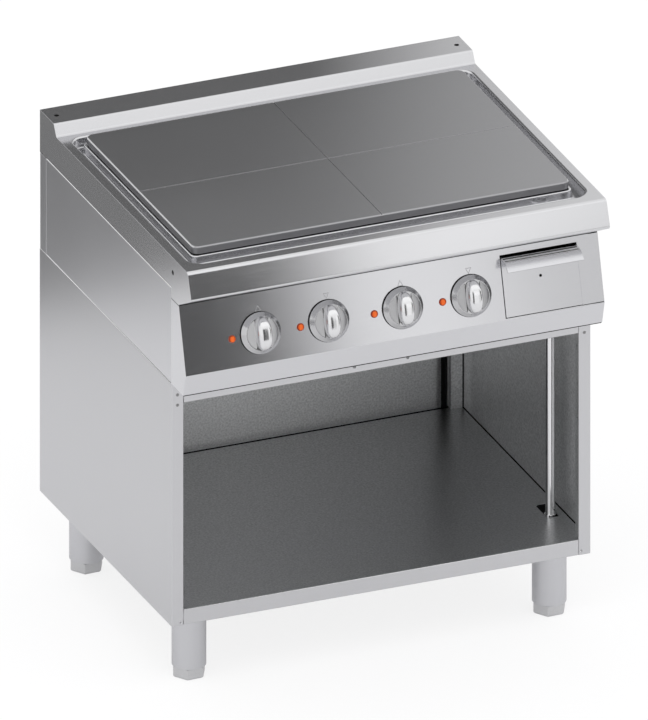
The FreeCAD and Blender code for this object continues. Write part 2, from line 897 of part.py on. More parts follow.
def cabinet_floor():
    end_y = back_y - 2 * stand_sheet - seat_gap
    path = [
        (end_y, floor_z, 0),
        (stand_front_y, floor_z, stand_bend),
        (stand_front_y, stand_bottom, stand_bend),
        (stand_front_y + floor_return, stand_bottom, 0),
    ]
    half = side_x - stand_sheet - seat_gap
    floor = sheet(path, stand_sheet, in_yz(-half)).extrude(V(2 * half, 0, 0))
    cutters = []
    for sign in (-1, 1):
        ends = sorted((sign * (side_x + overrun), sign * (side_x - post_width - seat_gap)))
        notch_y = stand_front_y + post_return + seat_gap
        cutters.append(
            box(ends[0], ends[1], stand_front_y - overrun, notch_y, stand_bottom - overrun, floor_z + overrun)
        )
    right_x = side_x - passage_side_inset
    left_x = right_x - passage_width
    low_y = front_y + passage_front_inset
    high_y = low_y + passage_length
    corner = passage_corner
    passage = [
        (left_x + corner, low_y, 0),
        (right_x, low_y, 0),
        (right_x, high_y, 0),
        (left_x + corner, high_y, 0),
        (left_x, high_y - corner, 0),
        (left_x, low_y + corner, 0),
    ]
    cutters.append(slab(passage, floor_z - overrun, floor_z + overrun))
    return floor.cut(cutters)


def front_crossbar():
    low = base_z - crossbar_drop
    path = [
        (stand_front_y + crossbar_top_flange, base_z, 0),
        (stand_front_y, base_z, stand_bend),
        (stand_front_y, low, stand_bend),
        (stand_front_y + crossbar_low_flange, low, 0),
    ]
    half = side_x - post_width - seat_gap
    bar = sheet(path, stand_sheet, in_yz(-half)).extrude(V(2 * half, 0, 0))
    holes = []
    for sign in (-1, 1):
        start = V(sign * crossbar_hole_spacing / 2, stand_front_y - overrun, low + crossbar_hole_up)
        holes.append(rod(crossbar_hole_diameter / 2, start, V(0, 1, 0), 2 * overrun))
    return bar.cut(holes)


# Supply path
def cable_conduit():
    start = V(conduit_x, conduit_y, conduit_bottom)
    length = base_z + box_sheet - conduit_bottom
    tube = rod(conduit_radius, start, V(0, 0, 1), length)
    return tube.cut(rod(conduit_radius - conduit_wall, start, V(0, 0, 1), length))


def hexagon(across, start, tall):
    return polygon(6, across / math.sqrt(3), 0, start).extrude(V(0, 0, tall))


def cable_gland():
    """A hexagonal body with a smaller hexagonal cap, closed until a cord is fitted."""
    start = V(conduit_x, conduit_y, base_top_z)
    body = hexagon(gland_across, start, gland_height)
    cap = hexagon(gland_cap_across, start + V(0, 0, gland_height), gland_cap_height)
    return body.fuse(cap)


def terminal_block():
    long_x = terminal_poles * terminal_pitch + terminal_rib
    low_x = side_x - terminal_side_inset - long_x / 2
    low_y = back_y - terminal_back_inset - terminal_depth / 2
    high_y = low_y + terminal_depth
    high_x = low_x + long_x
    ridge_z = base_top_z + terminal_height
    ridge_y = low_y + terminal_step, high_y - terminal_step
    pieces = [
        box(low_x, high_x, low_y, high_y, base_top_z, base_top_z + terminal_base),
        box(low_x, high_x, *ridge_y, base_top_z, ridge_z - terminal_base),
    ]
    for i in range(terminal_poles + 1):
        x = low_x + terminal_pitch * i
        pieces.append(box(x, x + terminal_rib, low_y, high_y, base_top_z, ridge_z))
    return fused(pieces)


# Legs, feet and fasteners
def leg_places():
    return {
        "front_left": (-leg_x, leg_front_y),
        "front_right": (leg_x, leg_front_y),
        "rear_left": (-leg_x, leg_rear_y),
        "rear_right": (leg_x, leg_rear_y),
    }


def leg_screw_places():
    half = leg_screw_spacing / 2
    places = []
    for x, y in leg_places().values():
        places += [(x - half, y - half), (x + half, y - half), (x - half, y + half), (x + half, y + half)]
    return places


def legs():
    """Round columns with a square plate on top and a bore for the stem of the foot."""
    low = foot_height + seat_gap
    half = leg_plate / 2
    columns = []
    for x, y in leg_places().values():
        column = rod(leg_radius, V(x, y, low), V(0, 0, 1), leg_top_z - low)
        plate = box(x - half, x + half, y - half, y + half, leg_top_z - leg_plate_thickness, leg_top_z)
        bore = rod(stem_radius + running_gap, V(x, y, low), V(0, 0, 1), stem_length + stem_end_gap)
        columns.append(column.fuse(plate).cut(bore).removeSplitter())
    return Part.Compound(columns)


def polygon(sides, radius, turn, centre):
    points = []
    for i in range(sides + 1):
        angle = math.radians(turn) + 2 * math.pi * i / sides
        points.append(centre + V(radius * math.cos(angle), radius * math.sin(angle), 0))
    return Part.Face(Part.makePolygon(points))


def foot(place):
    x, y = leg_places()[place]
    head = polygon(6, foot_corner_radius, foot_turn_degrees, V(x, y, 0)).extrude(V(0, 0, foot_height))
    head = broken_edges(head, 0, foot_chamfer)
    stem = rod(stem_radius, V(x, y, foot_height), V(0, 0, 1), stem_length)
    return fused([head, stem])


def leg_screws():
    level = leg_top_z - leg_plate_thickness - leg_screw_head
    places = [V(x, y, level) for x, y in leg_screw_places()]
    return Part.Compound([hexagon(leg_screw_across, place, leg_screw_head) for place in places])


def save(name, shape):
    shape.exportStep("parts/" + name + ".step")


save("worktop", worktop())
save("cooking_plate", cooking_plate())
save("plate_seal", plate_seal())
for number in (1, 2, 3, 4):
    save("heating_element_%d" % number, heating_element(number))
    save("regulator_%d" % number, regulator(number))
    save("knob_%d" % number, knob(number))
save("pilot_lamps", pilot_lamps())
save("insulation_board", insulation_board())
save("element_tray", element_tray())
save("safety_thermostat", safety_thermostat())
save("hob_side_right", hob_side_right())
save("hob_side_left", mirrored(hob_side_right()))
save("hob_back", hob_back())
save("hob_floor", hob_floor())
save("control_panel", control_panel())
save("drawer_front", drawer_front())
save("drawer_tray", drawer_tray())
save("drawer_runner_right", drawer_runner(True))
save("drawer_runner_left", drawer_runner(False))
save("drain_spout", drain_spout())
save("cabinet_side_right", cabinet_side_right())
save("cabinet_side_left", mirrored(cabinet_side_right()))
save("rear_upright_right", rear_upright_right())
save("rear_upright_left", mirrored(rear_upright_right()))
save("cabinet_back", cabinet_back())
save("cabinet_floor", cabinet_floor())
save("front_crossbar", front_crossbar())
save("cable_conduit", cable_conduit())
save("cable_gland", cable_gland())
save("terminal_block", terminal_block())
for place in leg_places():
    save("foot_" + place, foot(place))
save("legs", legs())
save("leg_screws", leg_screws())
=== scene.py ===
import json
import math

import bmesh
import bpy
from mathutils import Matrix, Vector


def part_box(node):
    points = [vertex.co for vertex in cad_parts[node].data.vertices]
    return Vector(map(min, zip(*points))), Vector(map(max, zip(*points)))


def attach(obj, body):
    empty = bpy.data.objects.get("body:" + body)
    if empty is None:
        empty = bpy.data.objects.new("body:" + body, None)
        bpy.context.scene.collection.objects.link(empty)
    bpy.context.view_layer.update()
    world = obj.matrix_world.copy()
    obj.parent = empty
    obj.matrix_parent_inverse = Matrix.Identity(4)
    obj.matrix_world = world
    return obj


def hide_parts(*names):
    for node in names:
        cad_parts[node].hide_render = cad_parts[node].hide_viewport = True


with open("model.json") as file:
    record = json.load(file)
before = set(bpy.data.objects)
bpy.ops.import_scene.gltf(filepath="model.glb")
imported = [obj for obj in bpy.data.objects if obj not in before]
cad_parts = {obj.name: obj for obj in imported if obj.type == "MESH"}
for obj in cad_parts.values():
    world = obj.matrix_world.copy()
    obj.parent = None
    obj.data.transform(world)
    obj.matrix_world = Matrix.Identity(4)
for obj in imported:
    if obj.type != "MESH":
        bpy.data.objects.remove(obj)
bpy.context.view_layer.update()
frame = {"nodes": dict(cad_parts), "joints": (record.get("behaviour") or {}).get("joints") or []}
nodes = frame["nodes"]


# Legs and levelling feet
# Drawn stainless tubes with a square plate on top, screwed up into the shelf.
# A cast hexagonal foot on a threaded stem levels each of them.
class Wire:
    """One socket of a material's node tree, so that shader sums read as plain sums."""

    def __init__(self, tree, socket=None):
        self.tree = tree
        self.socket = socket

    def node(self, kind, settings, sockets, output=0):
        """A new node: its settings first, then the values or links of its sockets."""
        made = self.tree.nodes.new("ShaderNode" + kind)
        for name, value in settings.items():
            setattr(made, name, value)
        for name, value in sockets.items():
            if isinstance(value, Wire):
                self.tree.links.new(value.socket, made.inputs[name])
            else:
                made.inputs[name].default_value = value
        return Wire(self.tree, made.outputs[output])

    def feed(self, shader, name):
        self.tree.links.new(self.socket, shader.inputs[name])

    def __add__(self, other):
        return self.node("Math", {"operation": "ADD"}, {0: self, 1: other})

    def __sub__(self, other):
        return self.node("Math", {"operation": "SUBTRACT"}, {0: self, 1: other})

    def __rsub__(self, other):
        return self.node("Math", {"operation": "SUBTRACT"}, {0: other, 1: self})

    def __mul__(self, other):
        return self.node("Math", {"operation": "MULTIPLY"}, {0: self, 1: other})

    __radd__ = __add__
    __rmul__ = __mul__

    def tint(self, dark, light):
        """The colour between two that this value names."""
        return self.node("Mix", {"data_type": "RGBA"}, {0: self, 6: (*dark, 1), 7: (*light, 1)}, 2)


def finish(name, roughness, metallic):
    """A new material: a wire to start its nodes from, and its main shader."""
    material = bpy.data.materials.new(name)
    material.use_nodes = True
    shader = material.node_tree.nodes["Principled BSDF"]
    shader.inputs["Roughness"].default_value = roughness
    shader.inputs["Metallic"].default_value = metallic
    return material, Wire(material.node_tree), shader


def noise(wire, scale, detail=2.0, stretch=(1, 1, 1)):
    """Noise in Object coordinates, drawn out along an axis by a small stretch value."""
    place = wire.node("TexCoord", {}, {}, 3)
    place = wire.node("Mapping", {}, {"Vector": place, "Scale": stretch})
    return wire.node("TexNoise", {}, {"Vector": place, "Scale": scale, "Detail": detail})


grind_scale, speck_scale, cloud_scale = 420.0, 300.0, 3.2
cloud_share = 0.04
rough_share = 0.06
speck_height = 0.4
bump_depth = 0.0002


def steel(name, tone, roughness, stretch, lines=0.03, grain=0.02, relief=0.012, back_shade=0.0):
    """Stainless sheet: drawn-out grinding lines, a fine grain and faint wide clouds.

    A back shade makes it darker towards the back, per metre: painted shade.
    """
    material, start, shader = finish(name, roughness, 1.0)
    grind = noise(start, grind_scale, 3.0, stretch)
    speck = noise(start, speck_scale)
    cloud = noise(start, cloud_scale)
    shade = (grind - 0.5) * lines + (speck - 0.5) * grain + (cloud - 0.5) * cloud_share + 0.5
    # Painted shade: the colour darkens towards the back.
    if back_shade:
        depth = start.node("SeparateXYZ", {}, {0: start.node("TexCoord", {}, {}, 3)}, 1)
        shade = shade - depth * back_shade
    darkest, lightest = [part * 0.5 for part in tone], [part * 1.5 for part in tone]
    shade.tint(darkest, lightest).feed(shader, "Base Color")
    rough = (grind - 0.5) * rough_share + (cloud - 0.5) * cloud_share + roughness
    rough.feed(shader, "Roughness")
    height = grind + speck * speck_height
    bump = start.node("Bump", {}, {"Strength": relief, "Distance": bump_depth, "Height": height})
    bump.feed(shader, "Normal")
    return material


def dress(node, material):
    """A CAD node whose shape is right keeps its mesh and gets a better material."""
    nodes[node].material_slots[0].material = material


weld, fine_weld = 0.00002, 0.000005
flat_limit = math.radians(0.4)
smooth_limit = math.radians(35)


def closed_copy(node):
    """A CAD node's loose triangles as one closed mesh with its flat faces whole."""
    mesh = bmesh.new()
    mesh.from_mesh(nodes[node].data)
    bmesh.ops.remove_doubles(mesh, verts=mesh.verts, dist=weld)
    bmesh.ops.dissolve_limit(
        mesh, angle_limit=flat_limit, verts=mesh.verts, edges=mesh.edges, delimit={"NORMAL"}
    )
    return mesh


def sharp(mesh, degrees, rule=None):
    """The edges that turn by more than an angle, or those of them that a rule picks."""
    chosen = []
    for edge in mesh.edges:
        if len(edge.link_faces) == 2 and edge.calc_face_angle(0) > math.radians(degrees):
            if rule is None or rule(edge):
                chosen.append(edge)
    return chosen


def round_over(mesh, edges, width, segments=2):
    bmesh.ops.bevel(
        mesh,
        geom=edges,
        offset=width,
        offset_type="OFFSET",
        segments=segments,
        profile=0.5,
        affect="EDGES",
        clamp_overlap=False,
        material=-1,
    )


def piece(name, mesh, material, body, slot, *replaced, others=()):
    """The finished mesh as an object that rides on a body and stands for CAD nodes.

    Each other material comes with a rule that picks its faces.
    """
    data = bpy.data.meshes.new(name)
    mesh.to_mesh(data)
    mesh.free()
    data.materials.append(material)
    for number, (other, rule) in enumerate(others, 1):
        data.materials.append(other)
        for face in data.polygons:
            if rule(face):
                face.material_index = number
    for face in data.polygons:
        face.use_smooth = True
    data.set_sharp_from_angle(angle=smooth_limit)
    made = bpy.data.objects.new(name, data)
    bpy.context.scene.collection.objects.link(made)
    even = made.modifiers.new("even", "WEIGHTED_NORMAL")
    even.keep_sharp = True
    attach(made, body)
    if replaced:
        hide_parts(*replaced)
    return made


def softened(node, material, body, slot, width=0.0005, segments=2, degrees=24.0):
    """A CAD node again with its sheet edges broken, so that they catch the light."""
    mesh = closed_copy(node)
    round_over(mesh, sharp(mesh, degrees), width, segments)
    return piece(node + "_sheet", mesh, material, body, slot, node)


leg_steel = steel("leg satin steel", (0.59, 0.59, 0.61), 0.40, (1, 1, 0.05))
foot_alloy = steel("foot cast alloy", (0.60, 0.60, 0.61), 0.45, (1, 1, 1), grain=0.10)
screw_zinc = steel("zinc plated screw", (0.55, 0.55, 0.53), 0.32, (1, 1, 1))
softened("legs", leg_steel, "cooker", "leg_metal", width=0.0008)
softened("leg_screws", screw_zinc, "cooker", "screw_steel", width=0.0004)
for place in ("front_left", "front_right", "rear_left", "rear_right"):
    softened("foot_" + place, foot_alloy, "foot_" + place, "foot_metal", width=0.0008)


# Stand
# Folded stainless sheet: two side panels with their front posts, the shelf,
# the back wall, the rail under the panel and two uprights, riveted together.
half_width = 0.400
post_front_y = -0.260
post_back_y = -0.257
side_inner = 0.3985
wall_front = 0.3365
upright_front = 0.3245
shelf_top = 0.156
shelf_end = -0.235
seam_level = 0.600
joint_end = seam_level - 0.002
hob_seam_level = 0.7875
seam_round = 0.0020
seam_margin = 0.0005
edge_round = 0.0005
fine_round = 0.0004
rivet_profile = [(0, 0.15), (0.9, 0.15), (1.2, 0.75), (2.3, 0.7), (2.9, 0.35), (3.05, 0), (0, 0)]
rivet_places = [(-0.389, 0.577), (-0.389, 0.557), (0.388, 0.559)]
hole_radius, hole_length = 0.0021, 0.006
post_holes = [(-0.384, 0.1325), (0.382, 0.134)]
return_x = 0.3768
return_holes = [(-0.2525, 0.533), (-0.2525, 0.392)]
upright_x, upright_y = 0.3745, 0.3315
upright_holes = [0.1965, 0.1665]
# Sizes and places of the black strips and beads below, which are painted shade.
gasket_width = 0.0103
gasket_away = 0.0275
gasket_thick = 0.0008
seal_wide, seal_tall = 0.0020, 0.0013
back_seal_wide = 0.0032
strip_half = 0.399
lip_strip = ((-0.3125, seam_level - 0.0013), (-0.3105, seam_level))
nose_strip = ((-0.2931, 0.7675), (-0.2915, 0.7681))
corner_strip = ((0.3970, 0.3998), (0.3210, 0.7876), (0.3495, 0.7889))
passage_low = (0.3610, -0.1550)
passage_high = (0.3930, -0.0940)
passage_edge = 0.3840
passage_depths = (0.0040, 0.0025)
fill_depths = (0.0030, 0.0001)


def turned(profile, steps):
    """A closed solid of revolution about Z, from pairs of radius and height in mm."""
    mesh = bmesh.new()
    points = [mesh.verts.new((radius / 1000, 0, height / 1000)) for radius, height in profile]
    lines = [mesh.edges.new(pair) for pair in zip(points, points[1:])]
    bmesh.ops.spin(
        mesh,
        geom=points + lines,
        axis=(0, 0, 1),
        cent=(0, 0, 0),
        steps=steps,
        angle=math.tau,
        use_merge=True,
    )
    bmesh.ops.remove_doubles(mesh, verts=mesh.verts, dist=fine_weld)
    bmesh.ops.recalc_face_normals(mesh, faces=mesh.faces)
    return mesh


def drill(radius, length, place, axis):
    """A short rod to cut a hole with, centred on a place."""
    mesh = bmesh.new()
    turn = Vector((0, 0, 1)).rotation_difference(Vector(axis)).to_matrix().to_4x4()
    bmesh.ops.create_cone(
        mesh,
        cap_ends=True,
        segments=20,
        radius1=radius,
        radius2=radius,
        depth=length,
        matrix=Matrix.Translation(place) @ turn,
    )
    return mesh


def block(low, high):
    """A plain box between two corners."""
    mesh = bmesh.new()
    bmesh.ops.create_cube(mesh, size=1.0)
    low, high = Vector(low), Vector(high)
    bmesh.ops.scale(mesh, vec=high - low, verts=mesh.verts)
    bmesh.ops.translate(mesh, vec=(low + high) / 2, verts=mesh.verts)
    return mesh


def bead(start, end, aside, up):
    """A three-sided bead along a joint, from a corner line and its two legs, which stands in for
    the shade in the joint.
    """
    mesh = bmesh.new()
    start, end = Vector(start), Vector(end)
    legs = (Vector((0, 0, 0)), Vector(aside), Vector(up))
    mesh.faces.new([mesh.verts.new(start + leg) for leg in legs])
    return raised(mesh, end - start)


def raised(mesh, lift):
    """The mesh's one face drawn out to a closed block."""
    drawn = bmesh.ops.extrude_face_region(mesh, geom=mesh.faces[:])
    moved = [part for part in drawn["geom"] if isinstance(part, bmesh.types.BMVert)]
    bmesh.ops.translate(mesh, vec=lift, verts=moved)
    bmesh.ops.holes_fill(mesh, edges=mesh.edges)
    bmesh.ops.recalc_face_normals(mesh, faces=mesh.faces)
    return mesh


def along(mesh, axis, level, reach=0.0002):
    """The mesh's edges that lie at one level of an axis."""

    def near(vert):
        return abs(vert.co[axis] - level) < reach

    return [edge for edge in mesh.edges if all(near(vert) for vert in edge.verts)]


def gathered(meshes):
    """Several meshes in one."""
    whole = bmesh.new()
    for mesh in meshes:
        data = bpy.data.meshes.new("part")
        mesh.to_mesh(data)
        mesh.free()
        whole.from_mesh(data)
        bpy.data.meshes.remove(data)
    return whole


def carved(mesh, tool, operation="DIFFERENCE"):
    """Two closed meshes combined by the exact solver."""
    holders = []
    for part in (mesh, tool):
        data = bpy.data.meshes.new("carving")
        part.to_mesh(data)
        part.free()
        holders.append(bpy.data.objects.new("carving", data))
        bpy.context.scene.collection.objects.link(holders[-1])
    modifier = holders[0].modifiers.new("carve", "BOOLEAN")
    modifier.operation = operation
    modifier.solver = "EXACT"
    modifier.object = holders[1]
    result = bmesh.new()
    result.from_object(holders[0], bpy.context.evaluated_depsgraph_get())
    for holder in holders:
        bpy.data.meshes.remove(holder.data)
    return result


def side_panel(node, sign, level, limit):
    """A side panel, its upper outer edge rounded and the edges below a limit broken."""

    def low(edge):
        return max(vert.co.z for vert in edge.verts) < limit

    mesh = closed_copy(node)
    rims = [edge for edge in along(mesh, 2, level) if edge in along(mesh, 0, sign * half_width)]
    round_over(mesh, rims, seam_round, 4)
    round_over(mesh, sharp(mesh, 40, low), edge_round)
    return mesh


def faces_in(face):
    """A rule for the faces that close the open space of the stand."""
    middle = face.center
    return abs(middle.x) < strip_half and abs(face.normal.y) < 0.5 and middle.y > post_back_y


def seam_rule(face):
    """A rule for the rounded upper edges of the side panels, which get a near-white steel as a
    painted highlight.
    """
    reach = seam_round + seam_margin
    level = face.center.z
    upper = level > hob_seam_level - reach or seam_level - reach < level < seam_level
    return upper and face.normal.z > 0.2 and abs(face.normal.x) > 0.2


cabinet_steel = steel("cabinet satin steel", (0.585, 0.585, 0.60), 0.34, (1, 1, 0.04))
# The shelf top is painted darker towards the back: painted shade; its coarse grain is the sheet's
# own.
shelf_shaded_steel = steel("shelf steel painted darker to the back", (0.52, 0.525, 0.53), 0.32, (1, 1, 1), grain=0.9, back_shade=0.9)
# The stand's inner faces get a lighter copy of its steel: painted light; the coarse grain is the
# sheet's own.
inside_light_steel = steel("inside steel painted lighter", (0.71, 0.715, 0.72), 0.46, (1, 1, 1), grain=0.90)
# Near-white steel on the rounded seams: painted highlight.
seam_highlight_steel = steel("seam edge painted highlight", (0.95, 0.95, 0.96), 0.30, (1, 1, 1))
# Near black: the collar's dark screws, and the strips, beads, discs and rings that stand in for the
# shade in gaps, holes and joints, which is painted shade.
black_shade_and_screws, black_shade_start, black_shade_shader = finish("black painted shade and screws", 0.6, 0.0)
black_shade_shader.inputs["Specular IOR Level"].default_value = 0.05
black_shade_tone = noise(black_shade_start, 300.0).tint((0.002, 0.002, 0.002), (0.006, 0.006, 0.006))
black_shade_tone.feed(black_shade_shader, "Base Color")
for side, sign in (("left", -1), ("right", 1)):
    node = "cabinet_side_" + side
    mesh = side_panel(node, sign, seam_level, joint_end)
    tools = []
    for x, z in post_holes:
        if x * sign > 0:
            tools.append(drill(hole_radius, hole_length, (x, post_front_y, z), (0, 1, 0)))
    for y, z in return_holes:
        tools.append(drill(hole_radius, hole_length, (sign * return_x, y, z), (1, 0, 0)))
    mesh = carved(mesh, gathered(tools))
    others = ((inside_light_steel, faces_in), (seam_highlight_steel, seam_rule))
    piece(node + "_sheet", mesh, cabinet_steel, "cooker", "cabinet_steel", node, others=others)
    node = "rear_upright_" + side
    mesh = closed_copy(node)
    round_over(mesh, sharp(mesh, 24), fine_round)
    tools = []
    for z in upright_holes:
        tools.append(drill(hole_radius, hole_length, (sign * upright_x, upright_y, z), (1, 0, 0)))
    mesh = carved(mesh, gathered(tools))
    piece(node + "_sheet", mesh, inside_light_steel, "cooker", "cabinet_steel", node)
back = closed_copy("cabinet_back")
round_over(back, sharp(back, 24), fine_round)
piece(
    "cabinet_back_sheet",
    back,
    cabinet_steel,
    "cooker",
    "cabinet_steel",
    "cabinet_back",
    others=((inside_light_steel, lambda face: face.normal.y < -0.5),),
)
softened("front_crossbar", cabinet_steel, "cooker", "cabinet_steel")
shelf = closed_copy("cabinet_floor")
round_over(shelf, sharp(shelf, 24), edge_round)
piece(
    "cabinet_floor_sheet",
    shelf,
    cabinet_steel,
    "cooker",
    "cabinet_steel",
    "cabinet_floor",
    others=((shelf_shaded_steel, lambda face: face.normal.z > 0.5),),
)
# A black strip behind each upright, beads along the shelf's joints, and strips under the panel's
# lip and the nose, at the rear corners and under the cable passage: they stand in for the shade
# there, painted shade.
shade_strips = []
for sign in (-1, 1):
    corner = sign * side_inner
    gasket_out = sign * (side_inner - gasket_away)
    gasket_in = gasket_out - sign * gasket_width
    low_x, high_x = sorted((gasket_in, gasket_out))
    gasket_low = (low_x, wall_front - gasket_thick, shelf_top)
    shade_strips.append(block(gasket_low, (high_x, wall_front, joint_end)))
    shade_strips.append(
        bead(
            (corner, shelf_end, shelf_top),
            (corner, upright_front, shelf_top),
            (-sign * seal_wide, 0, 0),
            (0, 0, seal_tall),
        )
    )
    shade_strips.append(
        bead(
            (corner, upright_front, shelf_top),
            (corner, upright_front, joint_end),
            (-sign * seal_wide, 0, 0),
            (0, -seal_tall, 0),
        )
    )
shade_strips.append(
    bead(
        (-side_inner, wall_front, shelf_top),
        (side_inner, wall_front, shelf_top),
        (0, -back_seal_wide, 0),
        (0, 0, seal_tall),
    )
)
low_z, high_z = [shelf_top - depth for depth in passage_depths]
shade_strips.append(block((*passage_low, low_z), (passage_edge, passage_high[1], high_z)))
for low_end, high_end in (lip_strip, nose_strip):
    shade_strips.append(block((-strip_half, *low_end), (strip_half, *high_end)))
for sign in (-1, 1):
    (low_x, high_x), low_end, high_end = corner_strip
    low_x, high_x = sorted((sign * low_x, sign * high_x))
    shade_strips.append(block((low_x, *low_end), (high_x, *high_end)))
piece("joint_shade_strips", gathered(shade_strips), black_shade_and_screws, "cooker", "black_plastic")
low_z, high_z = [shelf_top - depth for depth in fill_depths]
passage_fill = block((passage_edge, passage_low[1], low_z), (*passage_high, high_z))
piece("passage_plate", passage_fill, shelf_shaded_steel, "cooker", "cabinet_steel")
rivets = []
for x, z in rivet_places:
    rivet = turned(rivet_profile, 24)
    face_out = Matrix.Translation((x, post_front_y, z)) @ Matrix.Rotation(math.radians(90), 4, "X")
    bmesh.ops.transform(rivet, matrix=face_out, verts=rivet.verts)
    rivets.append(rivet)
rivet_steel = steel("dull rivet steel", (0.30, 0.30, 0.30), 0.35, (1, 1, 1))
piece("blind_rivets", gathered(rivets), rivet_steel, "cooker", "screw_steel")


# Top box
# Two side panels, a rear panel wrapped round the corners with its vent slots,
# and a base sheet, folded from the same stainless sheet as the stand.
body_steel = steel("body satin steel", (0.64, 0.64, 0.66), 0.32, (1, 1, 0.04))
inner_steel = steel("inner mill steel", (0.55, 0.55, 0.56), 0.40, (1, 1, 1), grain=0.12)
for side, sign in (("left", -1), ("right", 1)):
    node = "hob_side_" + side
    mesh = side_panel(node, sign, hob_seam_level, hob_seam_level - 0.0015)
    others = ((seam_highlight_steel, seam_rule),)
    piece(node + "_sheet", mesh, body_steel, "cooker", "body_steel", node, others=others)
softened("hob_back", body_steel, "cooker", "body_steel")
dress("hob_floor", inner_steel)


# Supply path
# A bright steel tube from the shelf up into the box, with its gland and the
# terminal block behind it.
tube_place = Vector((0.371, -0.143, shelf_top))
collar_profile = [(8.6, 0), (10.2, 0), (10.4, 0.3), (10.4, 2.6), (9.9, 3.2), (8.6, 3.2), (8.6, 0)]
collar_radius = 0.0104
collar_screw_radius, collar_screw_length = 0.0013, 0.0012
collar_screw_turns = (-118, -82)
collar_screw_up = Vector((0, 0, 0.0016))
tube_chrome = steel("bright tube", (0.78, 0.78, 0.79), 0.15, (1, 1, 0.02), lines=0.02, grain=0.01)
black_plastic, black_start, black_shader = finish("black moulding", 0.5, 0.0)
black_tone = noise(black_start, 300.0).tint((0.015, 0.015, 0.015), (0.04, 0.04, 0.04))
black_tone.feed(black_shader, "Base Color")
grey_plastic, grey_start, grey_shader = finish("terminal moulding", 0.45, 0.0)
grey_tone = noise(grey_start, 200.0).tint((0.62, 0.61, 0.57), (0.72, 0.71, 0.67))
grey_tone.feed(grey_shader, "Base Color")
collar = turned(collar_profile, 40)
bmesh.ops.translate(collar, vec=tube_place, verts=collar.verts)
collar_screws = []
for degrees in collar_screw_turns:
    aside = Vector((math.cos(math.radians(degrees)), math.sin(math.radians(degrees)), 0))
    place = tube_place + aside * collar_radius + collar_screw_up
    collar_screws.append(drill(collar_screw_radius, collar_screw_length, place, aside))
softened("cable_conduit", tube_chrome, "cooker", "conduit_steel", width=0.0003)
piece("conduit_collar", collar, tube_chrome, "cooker", "conduit_steel")
piece("collar_screws", gathered(collar_screws), black_shade_and_screws, "cooker", "black_plastic")
dress("cable_gland", black_plastic)
dress("terminal_block", grey_plastic)


# Heating
# Flat strip elements on a fibre board in a steel tray, pressed up against the
# plate, with the safety thermostat underneath and the sealing tape round it.
element_steel = steel("heat darkened strip", (0.22, 0.21, 0.20), 0.5, (1, 1, 1), grain=0.2)
fibre, fibre_start, fibre_shader = finish("pressed fibre", 0.9, 0.0)
fibre_tone = noise(fibre_start, 260.0, 4.0).tint((0.62, 0.60, 0.55), (0.82, 0.80, 0.76))
fibre_tone.feed(fibre_shader, "Base Color")
# The tape round the plate is near black, which stands in for the shade in the gap under the plate:
# painted shade.
tape, tape_start, tape_shader = finish("sealing tape", 0.95, 0.0)
tape_shade_tone = noise(tape_start, 700.0).tint((0.006, 0.006, 0.006), (0.020, 0.019, 0.018))
tape_shade_tone.feed(tape_shader, "Base Color")
for number in (1, 2, 3, 4):
    dress("heating_element_%d" % number, element_steel)
dress("insulation_board", fibre)
dress("element_tray", inner_steel)
dress("safety_thermostat", black_plastic)
dress("plate_seal", tape)


# Worktop
# One pressed stainless sheet: nose, side skirts, upstand and a trough with a
# raised rim. The press leaves the edges of the trough rounded.
deck_level = 0.849
skirt_level = 0.789
lower_end = 0.7680
side_view = [
    (0.3500, skirt_level, 0),
    (0.3500, 0.8700, 0),
    (0.2857, 0.8700, 0.0025),
    (0.2738, deck_level, 0.0030),
    (-0.3330, deck_level, 0.0056),
    (-0.3507, 0.7997, 0.0052),
    (-0.2915, lower_end, 0),
    (post_back_y, lower_end, 0),
    (post_back_y, skirt_level, 0),
]
trough = (0.380, -0.305, 0.258)
trough_level = 0.829
trough_corners = (0.028, 0.022)
rim = (0.364, -0.268, 0.243)
rim_level = 0.845
rim_corners = (0.012, 0.012)
opening = (0.352, -0.256, 0.231)
trough_round = 0.0045
rim_round = 0.0022
foot_round = 0.0022
fold_round = 0.0004
cut_top, cut_foot = 0.9, 0.7
drain = (0.306, -0.2865, trough_level)
drain_bore, drain_cut = 0.013, 0.012
drain_profile = [
    (12, -4),
    (12, 0.4),
    (13, 1.1),
    (15.8, 1.1),
    (17.0, 0.2),
    (17.4, -0.4),
    (17.4, -4),
    (12, -4),
]
anchor_holes = [(-0.382, 0.316, 0.870), (0.382, 0.316, 0.870)]
joining_holes = [(-half_width, -0.265, 0.820), (half_width, -0.265, 0.820)]
bore_radius, bore_length = 0.0045, 0.008
plug_radius, plug_thick, plug_down = 0.0044, 0.0006, 0.0008
top_sheet = 0.0014
slack = 0.0001


def round_corners(mesh, corners, size, segments):
    bmesh.ops.bevel(
        mesh,
        geom=corners,
        offset=size,
        offset_type="OFFSET",
        segments=segments,
        profile=0.5,
        affect="VERTICES",
        clamp_overlap=False,
        material=-1,
    )


def slab(outline, low_z, high_z, corners=None):
    """A block over a half width, front and back, with rounded corners."""
    half, front, back = outline
    mesh = bmesh.new()
    bmesh.ops.create_grid(mesh, x_segments=1, y_segments=1, size=0.5)
    bmesh.ops.scale(mesh, vec=(2 * half, back - front, 1), verts=mesh.verts)
    bmesh.ops.translate(mesh, vec=(0, (front + back) / 2, low_z), verts=mesh.verts)
    if corners:
        near = [vert for vert in mesh.verts if vert.co.y < 0]
        far = [vert for vert in mesh.verts if vert.co.y > 0]
        for pair, size in zip((near, far), corners):
            round_corners(mesh, pair, size, 10)
    return raised(mesh, (0, 0, high_z - low_z))


def inside(vert, outline, grow):
    """Whether a point lies inside an outline that is grown a little."""
    half, front, back = outline
    return abs(vert.co.x) < half + grow and front - grow < vert.co.y < back + grow


